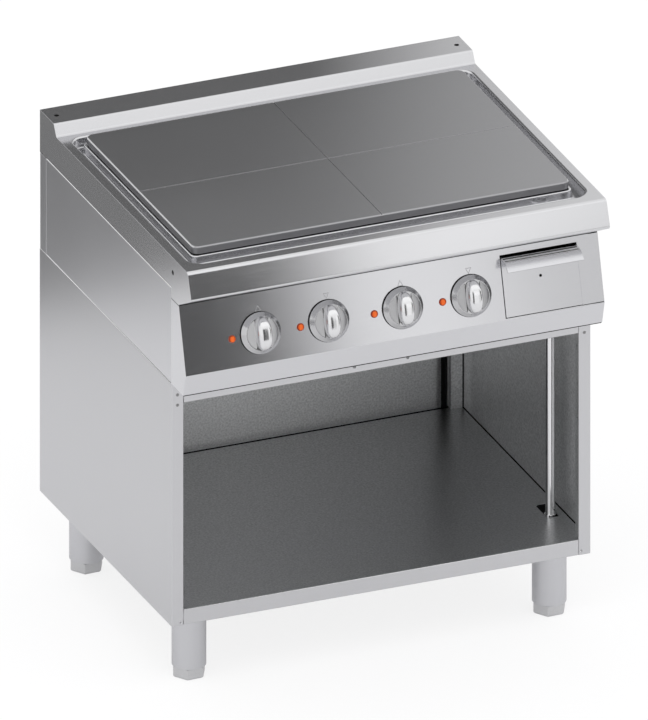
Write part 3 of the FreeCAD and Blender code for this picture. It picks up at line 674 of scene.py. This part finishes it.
def at_level(level, outline, hole=None):
    """A rule for edges that lie at one level, inside an outline but not inside a hole."""

    def rule(edge):
        for vert in edge.verts:
            if abs(vert.co.z - level) > slack / 2 or not inside(vert, outline, slack):
                return False
            if hole and inside(vert, hole, slack):
                return False
        return True

    return rule


def at_side(edge):
    """A rule for the folds between the top and the side skirts."""
    low = all(vert.co.z < skirt_level + slack for vert in edge.verts)
    return min(abs(vert.co.x) for vert in edge.verts) > half_width - slack and not low


brushed_tone = (0.64, 0.64, 0.655)
worktop_steel = steel("worktop brushed steel", brushed_tone, 0.20, (0.05, 1, 1), 0.02, 0.012, 0.002)
skirt_steel = steel("skirt brushed steel", brushed_tone, 0.20, (1, 0.05, 1), 0.02, 0.012, 0.001)
# The sheet's underside and cut edges get a near-black copy of its steel: painted shade.
underside_shade_steel = steel("underside painted dark as shade", (0.10, 0.10, 0.10), 0.6, (1, 1, 1))
worktop = bmesh.new()
corner_verts = [worktop.verts.new((-half_width, y, z)) for y, z, bend in side_view]
worktop.faces.new(corner_verts)
for vert, (y, z, bend) in zip(corner_verts, side_view):
    if bend:
        round_corners(worktop, [vert], bend, 6)
worktop = raised(worktop, (2 * half_width, 0, 0))
worktop = carved(worktop, slab(trough, trough_level, cut_top, trough_corners))
worktop = carved(worktop, slab(rim, trough_level - 0.005, rim_level, rim_corners), "UNION")
worktop = carved(worktop, slab(opening, cut_foot, cut_top))
round_over(worktop, sharp(worktop, 50, at_level(deck_level, trough)), trough_round, 4)
round_over(worktop, sharp(worktop, 50, at_level(rim_level, rim, opening)), rim_round, 3)
round_over(worktop, sharp(worktop, 50, at_level(trough_level, trough)), foot_round, 3)
round_over(worktop, sharp(worktop, 20, at_side), fold_round, 3)
drain_block = turned(drain_profile, 40)
bmesh.ops.translate(drain_block, vec=drain, verts=drain_block.verts)
worktop = carved(worktop, drill(drain_bore, drain_cut, drain, (0, 0, 1)))
tools = [drill(bore_radius, bore_length, place, (0, 0, 1)) for place in anchor_holes]
tools += [drill(bore_radius, bore_length, place, (1, 0, 0)) for place in joining_holes]
worktop = carved(worktop, gathered(tools))
under = []
for face in worktop.faces:
    below = all(vert.co.z < skirt_level + slack for vert in face.verts)
    upright = abs(face.normal.z) < 0.1 and all(inside(vert, opening, slack) for vert in face.verts)
    if below or upright:
        under.append(face)
bmesh.ops.delete(worktop, geom=under, context="FACES")
outer_faces = set(worktop.faces)
bmesh.ops.solidify(worktop, geom=worktop.faces[:], thickness=top_sheet)
for face in worktop.faces:
    if face not in outer_faces:
        face.material_index = 1
worktop = gathered([worktop, drain_block])
piece(
    "worktop_sheet",
    worktop,
    worktop_steel,
    "cooker",
    "worktop_steel",
    "worktop",
    others=(
        (underside_shade_steel, lambda face: face.material_index == 1),
        (skirt_steel, lambda face: face.material_index == 0 and abs(face.normal.x) > 0.6),
    ),
)
# Black discs in the anchor and joining holes stand in for the shade inside them: painted shade.
shade_discs = []
for x, y, z in anchor_holes:
    shade_discs.append(drill(plug_radius, plug_thick, (x, y, z - plug_down), (0, 0, 1)))
for x, y, z in joining_holes:
    shade_discs.append(drill(plug_radius, plug_thick, (x - math.copysign(plug_down, x), y, z), (1, 0, 0)))
piece("hole_shade_discs", gathered(shade_discs), black_shade_and_screws, "cooker", "black_plastic")


# Cooking plate
# A thick plate of ground steel with rounded edges and two engraved lines that
# part its four zones.
plate_low, plate_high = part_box("cooking_plate")
plate_corner = 0.008
corner_grow = 0.006
plate_foot_round = 0.0012
plate_upper = 0.850
edge_band = 0.004
score_border = 0.005
score_depth = 0.004
plate_steel = steel("ground plate steel", (0.355, 0.355, 0.365), 0.36, (0.3, 1, 1), grain=0.04)
# A lighter steel for the plate's side edges: painted highlight.
plate_edge_highlight = steel("plate edge painted highlight", (0.52, 0.52, 0.53), 0.22, (1, 1, 1))
line_steel = steel("engraved line", (0.30, 0.30, 0.31), 0.22, (1, 1, 1))


def plate_rule(face):
    """A rule for the top's broken edges at the sides, which get a lighter steel as a painted
    highlight.
    """
    return 0.2 < face.normal.z < 0.97 and abs(face.center.x) > plate_high[0] - edge_band


def score_rule(face):
    """A rule for the walls and floors of the engraved lines."""
    x, y, z = face.center
    inner = abs(x) < plate_high[0] - score_border
    inner = inner and plate_low[1] + score_border < y < plate_high[1] - score_border
    return inner and plate_high[2] - score_depth < z < plate_high[2] - slack


def plate_foot(edge):
    """A rule for the edges round the plate's underside."""
    return all(vert.co.z < plate_low[2] + 2 * slack for vert in edge.verts)


def plate_top(edge):
    """A rule for the edges that reach into the plate's upper part."""
    return max(vert.co.z for vert in edge.verts) > plate_upper


plate = closed_copy("cooking_plate")
for vert in plate.verts:
    x, y, z = vert.co
    turn_x = math.copysign(plate_high[0] - plate_corner, x)
    turn_y = plate_low[1] + plate_corner if y < 0 else plate_high[1] - plate_corner
    aside = Vector((x - turn_x, y - turn_y))
    if min(aside.x * turn_x, aside.y * y) > -0.000001:
        aside = aside.normalized() * (aside.length + corner_grow)
        vert.co.x = turn_x - math.copysign(corner_grow, x) + aside.x
        vert.co.y = turn_y - math.copysign(corner_grow, y) + aside.y
round_over(plate, sharp(plate, 50, plate_foot), plate_foot_round)
round_over(plate, sharp(plate, 24, plate_top), fine_round)
piece(
    "cooking_plate_block",
    plate,
    plate_steel,
    "cooker",
    "plate_steel",
    "cooking_plate",
    others=((plate_edge_highlight, plate_rule), (line_steel, score_rule)),
)


# Control panel
# Leaning face of brushed stainless with a lower lip and closed cheeks, screwed
# to the box from behind.
panel_rise = Vector((0, 0.268, 1))
slit_above = 0.0025
slit_low, slit_high = Vector((0.3570, -0.0020, -0.0008)), Vector((0.4010, 0.0012, 0.0008))
seal_low, seal_high = Vector((0.3580, 0.0004, -0.0009)), Vector((0.3995, 0.0013, 0.0009))
panel_tone = (0.64, 0.64, 0.66)
panel_steel = steel("panel brushed steel", panel_tone, 0.19, (0.05, 1, 1), 0.02, 0.012, 0.002)
panel = closed_copy("control_panel")
knee = min(panel.verts, key=lambda vert: vert.co.y).co.copy()
round_over(panel, sharp(panel, 24), edge_round)
slit_middle = knee + panel_rise * slit_above
slit_middle.x = 0
panel = carved(panel, block(slit_middle + slit_low, slit_middle + slit_high))
piece("control_panel_sheet", panel, panel_steel, "cooker", "panel_steel", "control_panel")
# A black strip in the slit at the panel's knee stands in for the shade inside it: painted shade.
slit_shade_strip = block(slit_middle + seal_low, slit_middle + seal_high)
piece("slit_shade_strip", slit_shade_strip, black_shade_and_screws, "cooker", "black_plastic")
for number in (1, 2, 3, 4):
    dress("regulator_%d" % number, black_plastic)


# Collection drawer
# A folded front with a lip for the fingers, on a welded tray that slides on
# two folded runners and catches what runs down the drain pipe.
drawer_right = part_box("drawer_front")[1][0]
widened = 0.0014
lip_start = -0.3115
flange_front = -0.3150
drawer_round = 0.0003
hole_middle = Vector((0.285, -0.30642, 0.70944))
hole_plug_radius, hole_plug_thick = 0.0027, 0.0010
face_out = Vector((0, -0.96593, 0.25882))
# Places of a black strip and a dark bead across the flange top, which are painted shade.
hem_joint_low, hem_joint_high = (0.2150, -0.3036, 0.7500), (0.3560, -0.3002, 0.7508)
hem_bead_low, hem_bead_high = (0.2150, -0.3132, 0.7500), (0.3560, -0.3102, 0.7507)
# Near-black steel on the lip's cut edges and on the bead across the flange: painted shade.
lip_shade_steel = steel("lip edges painted dark as shade", (0.16, 0.16, 0.16), 0.4, (1, 1, 1))
# A pale, half-metal copy of the drawer's steel for the flange top: painted light.
flange_light_steel, flange_start, flange_shader = finish("flange top painted light", 0.6, 0.3)
flange_light_tone = noise(flange_start, 300.0).tint((0.86, 0.86, 0.87), (0.90, 0.90, 0.91))
flange_light_tone.feed(flange_shader, "Base Color")


def cut_faces(face):
    """A rule for the sheet's cut edges at the sides and along the lip's lower end."""
    side = abs(face.normal.x) > 0.8 and face.center.y < lip_start
    return side or face.normal.y < -0.5 and face.normal.z < -0.4


def flange_faces(face):
    """A rule for the top of the flange behind the lip, which gets a pale copy of the steel as
    painted light.
    """
    return face.normal.z > 0.9 and face.center.y > flange_front


front = closed_copy("drawer_front")
for vert in front.verts:
    if vert.co.x > drawer_right - 2 * slack:
        vert.co.x += widened
round_over(front, sharp(front, 24), drawer_round)
piece(
    "drawer_front_sheet",
    front,
    panel_steel,
    "drawer",
    "panel_steel",
    "drawer_front",
    others=((lip_shade_steel, cut_faces), (flange_light_steel, flange_faces)),
)
# A black disc behind the front's small hole stands in for the shade inside it: painted shade.
hole_back = drill(hole_plug_radius, hole_plug_thick, hole_middle - face_out * slack, face_out)
piece("drawer_hole_shade_disc", hole_back, black_shade_and_screws, "drawer", "black_plastic")
# A black strip and a dark bead across the flange top stand in for the shade lines there: painted
# shade.
hem_shade_strip = block(hem_joint_low, hem_joint_high)
piece("drawer_hem_shade_strip", hem_shade_strip, black_shade_and_screws, "drawer", "black_plastic")
hem_shade_bead = block(hem_bead_low, hem_bead_high)
piece("drawer_hem_shade_bead", hem_shade_bead, lip_shade_steel, "drawer", "panel_steel")
softened("drawer_tray", inner_steel, "drawer", "inner_steel", width=drawer_round)
dress("drawer_runner_left", inner_steel)
dress("drawer_runner_right", inner_steel)
dress("drain_spout", inner_steel)


# Pilot lamps
# Amber lenses pushed through the panel, and the lamp's square body snapped in
# behind. Each lens has a darker steep rim, which is painted shade, and a lighter
# pane inside, which is painted light.
knob_joints = [joint for joint in frame["joints"] if joint["name"].startswith("knob")]
panel_out = -Vector(knob_joints[0]["axis"])
panel_up = panel_out.cross(Vector((1, 0, 0)))
lean = Matrix((Vector((1, 0, 0)), panel_up, panel_out)).transposed().to_4x4()
lamp_left = 0.054
lamp_drop = 0.0026
lens_profile = [
    (0, 3.0),
    (3.4, 2.95),
    (5.2, 2.6),
    (6.1, 2.0),
    (6.6, 1.2),
    (6.7, 0.6),
    (7.0, 0.5),
    (7.0, 0),
    (0, 0),
]
window_size = (0.0060, 0.0098, 0.0008)
window_height = 0.0030
lamp_body = 0.0045
lamp_catch = 0.0053
catch_back, catch_front = 0.0035, 0.0015
lamp_depth = 0.024
lamp_round = 0.0003


def stood(mesh, joint, aside, above, turn=0.0):
    """A mesh built along +Z, stood on the leaning panel beside a knob's middle."""
    place = Vector(joint["pos_m"]) + Vector((aside, 0, 0)) + panel_up * above
    stand = Matrix.Translation(place) @ lean @ Matrix.Rotation(turn, 4, "Z")
    bmesh.ops.transform(mesh, matrix=stand, verts=mesh.verts)
    return mesh


def lens_rim(face):
    """A rule for the steep ring of a lens, which gets a darker amber as painted shade."""
    return -0.1 < face.normal.dot(panel_out) < 0.90


amber, amber_start, amber_shader = finish("amber lens", 0.15, 0.0)
amber_shader.inputs["Specular IOR Level"].default_value = 0.3
amber_tone = noise(amber_start, 500.0).tint((0.60, 0.072, 0.006), (0.70, 0.100, 0.009))
amber_tone.feed(amber_shader, "Base Color")
# A lighter pane in each lens: painted light.
window, window_start, window_shader = finish("lamp pane painted light", 0.25, 0.0)
window_shader.inputs["Specular IOR Level"].default_value = 0.2
window_light_tone = noise(window_start, 500.0).tint((0.78, 0.130, 0.020), (0.86, 0.160, 0.028))
window_light_tone.feed(window_shader, "Base Color")
# A darker amber for the lenses' steep rims: painted shade.
lens_rim_shade, rim_start, rim_shader = finish("lens rim painted shade", 0.3, 0.0)
rim_shader.inputs["Specular IOR Level"].default_value = 0.3
rim_shade_tone = noise(rim_start, 500.0).tint((0.20, 0.022, 0.005), (0.26, 0.030, 0.007))
rim_shade_tone.feed(rim_shader, "Base Color")
lenses = []
windows = []
for joint in knob_joints:
    lenses.append(stood(turned(lens_profile, 32), joint, -lamp_left, -lamp_drop))
    housing = block((-lamp_body, -lamp_body, -lamp_depth), (lamp_body, lamp_body, 0))
    catch = block((-lamp_catch, -lamp_body, -catch_back), (lamp_catch, lamp_body, -catch_front))
    for part in (housing, catch):
        round_over(part, list(part.edges), lamp_round)
        lenses.append(stood(part, joint, -lamp_left, -lamp_drop))
    wide, tall, deep = window_size
    pane_low = (-wide / 2, -tall / 2, window_height - deep)
    pane = block(pane_low, (wide / 2, tall / 2, window_height + slack))
    round_over(pane, list(pane.edges), lamp_round)
    windows.append(stood(pane, joint, -lamp_left, -lamp_drop))
piece(
    "lamp_lenses",
    gathered(lenses),
    amber,
    "cooker",
    "lamp_amber",
    "pilot_lamps",
    others=((lens_rim_shade, lens_rim),),
)
piece("lamp_windows", gathered(windows), window, "cooker", "lamp_amber")


# Zone marks
# Small triangles printed on the panel above the knobs, up and down in turn.
mark_up = 0.0445
mark_radius = 0.0065
mark_stretch = 1.13
mark_line = 0.0018
mark_thickness = 0.0001
mark_turns = (0, 180, 0, 180)
ink, ink_start, ink_shader = finish("panel print", 0.6, 0.0)
noise(ink_start, 900.0).tint((0.38, 0.38, 0.39), (0.44, 0.44, 0.45)).feed(ink_shader, "Base Color")
marks = []
for joint, turn in zip(knob_joints, mark_turns):
    mark = bmesh.new()
    bmesh.ops.create_circle(mark, cap_ends=True, segments=3, radius=mark_radius)
    bmesh.ops.inset_individual(mark, faces=mark.faces[:], thickness=mark_line)
    middle = [min(mark.faces, key=lambda face: face.calc_center_median().length)]
    bmesh.ops.delete(mark, geom=middle, context="FACES_ONLY")
    bmesh.ops.solidify(mark, geom=mark.faces[:], thickness=mark_thickness)
    bmesh.ops.scale(mark, vec=(1, mark_stretch, 1), verts=mark.verts)
    lower = -mark_radius * mark_stretch / 4
    bmesh.ops.translate(mark, vec=(0, lower, mark_thickness), verts=mark.verts)
    bmesh.ops.recalc_face_normals(mark, faces=mark.faces)
    marks.append(stood(mark, joint, 0, mark_up, math.radians(turn)))
piece("zone_marks", gathered(marks), ink, "cooker", "panel_steel")


# Knobs
# Die-cast and chromed: a low cone with a thin rim, two crescents scooped out
# of it and the domed grip bar left standing between them. The skirt's chrome is
# painted darker than the bar's, which is painted shade, and a black ring under
# the rim stands in for the shadow on the panel.
skirt_profile = [
    (0, 3.0),
    (37.2, 3.0),
    (37.9, 3.4),
    (38.0, 4.2),
    (36.6, 5.8),
    (34.6, 8.2),
    (32.4, 11.2),
    (30.9, 13.2),
    (0, 13.2),
]
skirt_round = fine_round
scoop_radius, scoop_tall = 29.6, 30
scoop_edges = {-1: 0.0100, 1: 0.0089}
scoop_tilts = {-1: math.radians(12), 1: math.radians(16)}
rib_half = 0.004
grip_size = (0.0142, 0.0316, 0.0230)
grip_centre = 0.0090
grip_foot = 0.006
grip_across = 4.0
grip_length = 2.2
foot_scale = (1.05, 0.99, 0.44)
floor_area = 0.00002
# The black ring under the knob, which is painted shade.
shade_ring_profile = [(0, 0), (38.7, 0), (38.7, 1.2), (37.3, 1.4), (37.3, 3.2), (0, 3.2)]


def sliced(mesh, place, normal):
    """A closed mesh cut off at a plane, on the side its normal points to, and closed again."""
    whole = mesh.verts[:] + mesh.edges[:] + mesh.faces[:]
    cut = bmesh.ops.bisect_plane(
        mesh, geom=whole, plane_co=place, plane_no=normal, clear_outer=True
    )
    lips = [part for part in cut["geom_cut"] if isinstance(part, bmesh.types.BMEdge)]
    bmesh.ops.contextual_create(mesh, geom=lips)


def scoop(sign):
    """The cutter for one crescent, its floor tilted down towards the rim."""
    mesh = turned([(0, 0), (scoop_radius, 0), (scoop_radius, scoop_tall), (0, scoop_tall)], 96)
    outer = Vector((sign * scoop_radius / 1000, 0, scoop_edges[sign]))
    floor_up = Vector((sign * math.sin(scoop_tilts[sign]), 0, math.cos(scoop_tilts[sign])))
    middle = Vector((sign * rib_half, 0, 0))
    for place, normal in ((outer, -floor_up), (middle, Vector((-sign, 0, 0)))):
        sliced(mesh, place, normal)
    bmesh.ops.recalc_face_normals(mesh, faces=mesh.faces)
    return mesh


def grip():
    """The grip bar: a ball pulled out to a block, full across, round along, its foot flat."""
    mesh = bmesh.new()
    bmesh.ops.create_uvsphere(mesh, u_segments=48, v_segments=32, radius=1.0)
    for vert in mesh.verts:
        x, y, z = [abs(value) for value in vert.co]
        across = (x**grip_across + z**grip_across) ** (1 / grip_across)
        reach = (across**grip_length + y**grip_length) ** (1 / grip_length)
        vert.co = vert.co / reach
    bmesh.ops.scale(mesh, vec=grip_size, verts=mesh.verts)
    bmesh.ops.translate(mesh, vec=(0, 0, grip_centre), verts=mesh.verts)
    sliced(mesh, (0, 0, grip_foot), (0, 0, -1))
    return mesh


def knob_shape():
    """A knob's skirt with its two crescents, the grip bar and the bar's wider foot."""
    skirt = turned(skirt_profile, 96)
    for sign in (-1, 1):
        skirt = carved(skirt, scoop(sign))
    bmesh.ops.remove_doubles(skirt, verts=skirt.verts, dist=weld)
    round_over(skirt, sharp(skirt, 28), skirt_round, 3)
    foot = grip()
    bmesh.ops.scale(foot, vec=foot_scale, verts=foot.verts)
    bar = grip()
    for face in bar.faces:
        face.material_index = 1
    return gathered([skirt, bar, foot])


def scoop_floor(face):
    """A rule for the floors of the two crescents, which lean a little sideways."""
    leans = 0.15 < abs(face.normal.x) < 0.33 and face.normal.dot(panel_out) > 0.94
    return leans and face.area > floor_area


even = (1, 1, 1)
# The skirt gets a darker copy of the bar's chrome: painted shade.
chrome = steel("knob skirt painted darker chrome", (0.52, 0.52, 0.53), 0.20, even, lines=0.01, grain=0.01)
bar_chrome = steel("knob bar chrome", (0.74, 0.74, 0.75), 0.18, even, lines=0.01, grain=0.01)
floor_chrome = steel("knob matt floor", (0.62, 0.62, 0.63), 0.52, even, lines=0.01, grain=0.01)
others = ((bar_chrome, lambda face: face.material_index == 1), (floor_chrome, scoop_floor))
for number, joint in enumerate(knob_joints, 1):
    body = "knob_%d" % number
    casting = stood(knob_shape(), joint, 0, 0)
    piece(body + "_casting", casting, chrome, body, "knob_metal", body, others=others)
    # A black ring under the knob stands in for its shadow on the panel: painted shade.
    shade_ring = stood(turned(shade_ring_profile, 64), joint, 0, 0)
    piece(body + "_shade_ring", shade_ring, black_shade_and_screws, body, "black_plastic")


# Studio
# A pale floor, one soft lamp, an even white surround, and cards that only
# mirrors see, which give the steel the photo's light and dark bands.
floor_size = 12.0
floor_colour = (0.79, 0.79, 0.80, 1)
floor_glow = 1.06
camera_share, mirror_share = 0.76, 0.30
surround = 1.08
floor_data = bpy.data.meshes.new("floor")
floor_mesh = bmesh.new()
bmesh.ops.create_grid(floor_mesh, x_segments=1, y_segments=1, size=floor_size)
floor_mesh.to_mesh(floor_data)
floor_mesh.free()
floor = bpy.data.objects.new("floor", floor_data)
bpy.context.scene.collection.objects.link(floor)
floor_white, floor_start, floor_shader = finish("pale floor", 0.9, 0.0)
floor_shader.inputs["Base Color"].default_value = floor_colour
glow = floor_start.node("Emission", {}, {"Strength": floor_glow})
lit = Wire(floor_start.tree, floor_shader.outputs[0])
seen = floor_start.node("LightPath", {}, {}, "Is Camera Ray") * camera_share
for ray in ("Is Glossy Ray", "Is Transmission Ray"):
    seen = seen + floor_start.node("LightPath", {}, {}, ray) * mirror_share
surface = floor_start.node("MixShader", {}, {0: seen, 1: lit, 2: glow})
surface.feed(floor_white.node_tree.nodes["Material Output"], "Surface")
floor_data.materials.append(floor_white)

world = bpy.data.worlds.new("studio")
world.use_nodes = True
bpy.context.scene.world = world
background = world.node_tree.nodes["Background"]
background.inputs["Color"].default_value = (1.0, 1.0, 1.0, 1)
background.inputs["Strength"].default_value = surround


def card(name, low, high, stops):
    """A thin card that only mirrors see, its tone graded along X through some stops."""
    data = bpy.data.meshes.new(name)
    mesh = block(low, high)
    mesh.to_mesh(data)
    mesh.free()
    made = bpy.data.objects.new(name, data)
    bpy.context.scene.collection.objects.link(made)
    made.visible_camera = False
    made.visible_diffuse = False
    made.visible_shadow = False
    material, start, shader = finish(name, 1.0, 0.0)
    aside = start.node("SeparateXYZ", {}, {0: start.node("TexCoord", {}, {}, 3)}, 0)
    level = stops[0][1]
    for (near, dark), (far, light) in zip(stops, stops[1:]):
        ramp = {0: aside, 1: near, 2: far, 3: 0.0, 4: light - dark}
        level = start.node("MapRange", {"clamp": True}, ramp) + level
    glow = start.node("Emission", {}, {"Strength": level})
    glow.feed(material.node_tree.nodes["Material Output"], "Surface")
    data.materials.append(material)


front_stops = [(0.19, 0.07), (0.36, 1.16), (0.56, 1.12), (0.76, 0.78), (0.90, 0.84)]
nose_stops = [(0.19, 0.06), (0.36, 1.26), (0.60, 1.26), (0.90, 1.08)]
right_stops = [(1.25, 0.08), (1.35, 0.08)]
back_stops = [(0.48, 0.16), (0.74, 0.68), (1.05, 0.88)]
left_stops = [(-2.0, 0.24), (-1.0, 0.24)]
ceiling_stops = [(-1.5, 1.22), (-1.4, 1.22)]
card("front_card", (-0.25, -1.51, 0.35), (1.10, -1.50, 1.00), front_stops)
card("nose_card", (-0.25, -1.51, 1.00), (1.10, -1.50, 1.38), nose_stops)
card("right_card", (1.25, -1.51, 0.35), (3.50, -1.50, 1.60), right_stops)
card("back_card", (-0.45, 1.20, 1.0), (1.30, 1.21, 2.2), back_stops)
card("left_card", (-3.0, 1.20, 0.05), (-0.45, 1.21, 0.80), left_stops)
card("ceiling_card", (-1.5, -2.6, 3.0), (2.5, -0.6, 3.01), ceiling_stops)

lamp_place = Vector((-0.8, -1.4, 3.0))
lamp_aim = Vector((0, 0, 0.4))
lamp_size, lamp_power = 2.0, 14
lamp_data = bpy.data.lights.new("soft_lamp", "AREA")
lamp_data.size = lamp_size
lamp_data.energy = lamp_power
lamp = bpy.data.objects.new("soft_lamp", lamp_data)
bpy.context.scene.collection.objects.link(lamp)
lamp.location = lamp_place
lamp.rotation_euler = (lamp_aim - lamp_place).to_track_quat("-Z", "Y").to_euler()
lamp.visible_glossy = False

view_turn = math.radians(22.44)
view_rise = math.radians(25.27)
view_middle = Vector((0, 0, 0.435))
view_shift = Vector((-0.0017, 0.0242, 0))
view_width = 1.2708
view_away = 4.0
view_end = 30.0
camera_data = bpy.data.cameras.new("camera")
camera_data.type = "ORTHO"
camera_data.ortho_scale = view_width
camera_data.clip_end = view_end
camera = bpy.data.objects.new("camera", camera_data)
bpy.context.scene.collection.objects.link(camera)
bpy.context.scene.camera = camera
away = math.cos(view_rise)
toward_camera = Vector(
    (-math.sin(view_turn) * away, -math.cos(view_turn) * away, math.sin(view_rise))
)
aim = (-toward_camera).to_track_quat("-Z", "Y")
target = view_middle + aim @ view_shift
camera.location = target + toward_camera * view_away
camera.rotation_euler = aim.to_euler()
bpy.context.scene.view_settings.view_transform = "Standard"
